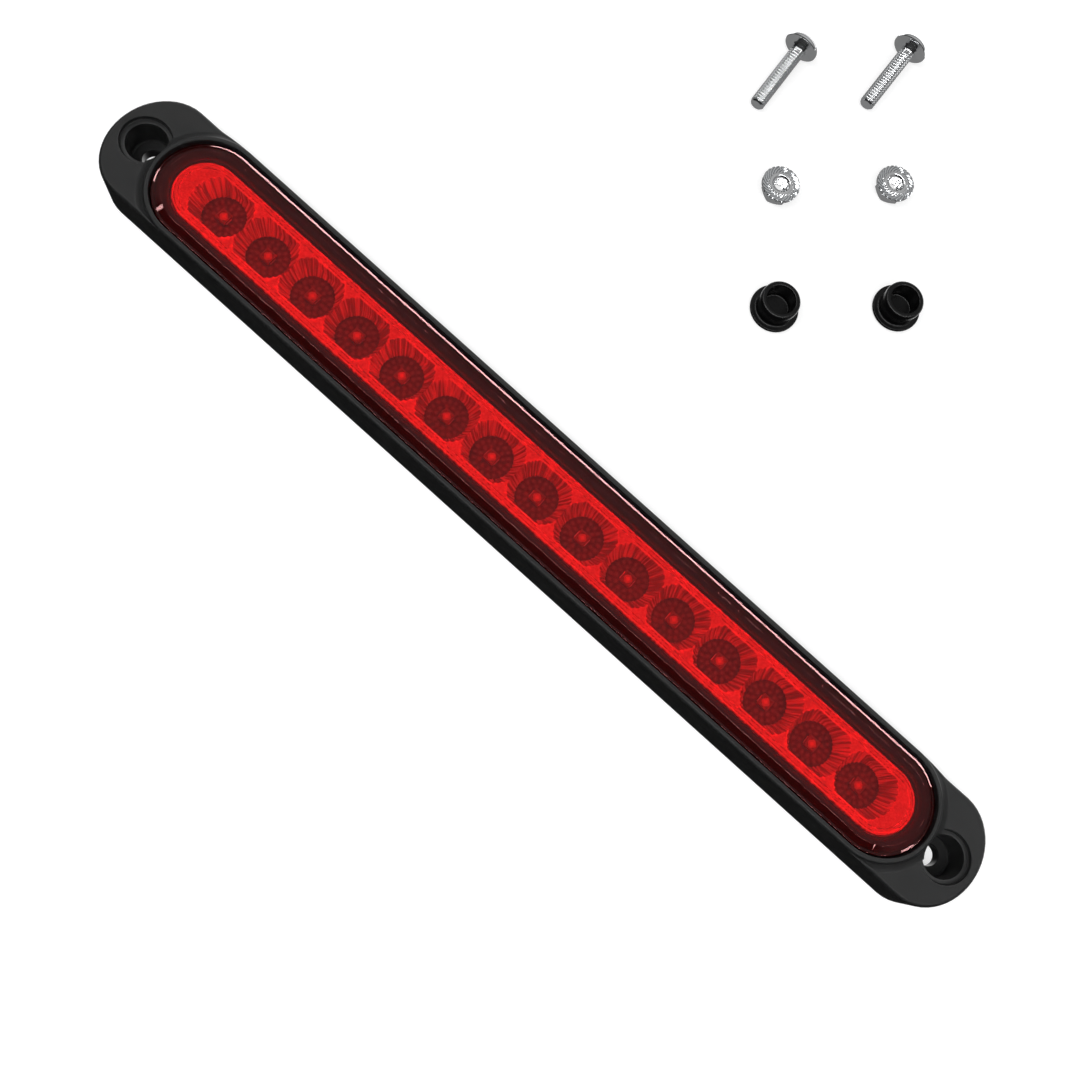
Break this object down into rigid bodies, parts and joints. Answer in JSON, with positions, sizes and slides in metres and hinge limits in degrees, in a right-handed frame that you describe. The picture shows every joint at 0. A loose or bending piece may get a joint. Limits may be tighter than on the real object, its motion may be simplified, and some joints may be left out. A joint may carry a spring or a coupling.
{
  "type": "third brake light",
  "caption": "Slim red LED bar light in a black housing with screw ears, with its screws, toothed flange nuts and rubber hole plugs laid out beside it.",
  "frame": {"origin": "centre of the lamp's flat back mounting face", "axes": "+X along the bar, +Z out of the lens and away from the mounting face, +Y across the bar towards the loose fixing kit"},
  "size_m": [0.26, 0.1787, 0.0134],
  "materials": {
    "black_abs": "satin moulded ABS",
    "red_lens": "polished clear red plastic",
    "mirror_coat": "vacuum metallised plastic",
    "board_mask": "solder mask on glass-epoxy",
    "led_body": "white LED package with clear dome fill",
    "ceramic_chip": "chip resistor and diode bodies",
    "zinc_steel": "bright zinc plated steel",
    "seal_rubber": "soft silicone",
    "plug_rubber": "smooth moulded rubber"
  },
  "bodies": {
    "lamp": {"housing": "black_abs", "rear_cover": "black_abs", "wire_grommet": "seal_rubber", "lens": "red_lens", "lens_seal": "seal_rubber", "reflector": "mirror_coat", "circuit_board": "board_mask", "led_01": "led_body", "led_02": "led_body", "led_03": "led_body", "led_04": "led_body", "led_05": "led_body", "led_06": "led_body", "led_07": "led_body", "led_08": "led_body", "led_09": "led_body", "led_10": "led_body", "led_11": "led_body", "led_12": "led_body", "led_13": "led_body", "led_14": "led_body", "led_15": "led_body", "resistor_1": "ceramic_chip", "resistor_2": "ceramic_chip", "resistor_3": "ceramic_chip", "resistor_4": "ceramic_chip", "resistor_5": "ceramic_chip", "polarity_diode": "ceramic_chip", "board_screw_1": "zinc_steel", "board_screw_2": "zinc_steel"},
    "mounting_screw_1": {"mounting_screw_1": "zinc_steel"},
    "mounting_screw_2": {"mounting_screw_2": "zinc_steel"},
    "flange_nut_1": {"flange_nut_1": "zinc_steel"},
    "flange_nut_2": {"flange_nut_2": "zinc_steel"},
    "hole_plug_1": {"hole_plug_1": "plug_rubber"},
    "hole_plug_2": {"hole_plug_2": "plug_rubber"}
  },
  "joints": [
    {"name": "mounting_screw_1_lift", "type": "slide", "parent": "lamp", "child": "mounting_screw_1", "axis": [0, 0, 1], "range_m": [0, 0.04]},
    {"name": "mounting_screw_2_lift", "type": "slide", "parent": "lamp", "child": "mounting_screw_2", "axis": [0, 0, 1], "range_m": [0, 0.04]},
    {"name": "flange_nut_1_lift", "type": "slide", "parent": "lamp", "child": "flange_nut_1", "axis": [0, 0, 1], "range_m": [0, 0.04]},
    {"name": "flange_nut_2_lift", "type": "slide", "parent": "lamp", "child": "flange_nut_2", "axis": [0, 0, 1], "range_m": [0, 0.04]},
    {"name": "hole_plug_1_lift", "type": "slide", "parent": "lamp", "child": "hole_plug_1", "axis": [0, 0, 1], "range_m": [0, 0.04]},
    {"name": "hole_plug_2_lift", "type": "slide", "parent": "lamp", "child": "hole_plug_2", "axis": [0, 0, 1], "range_m": [0, 0.04]}
  ]
}
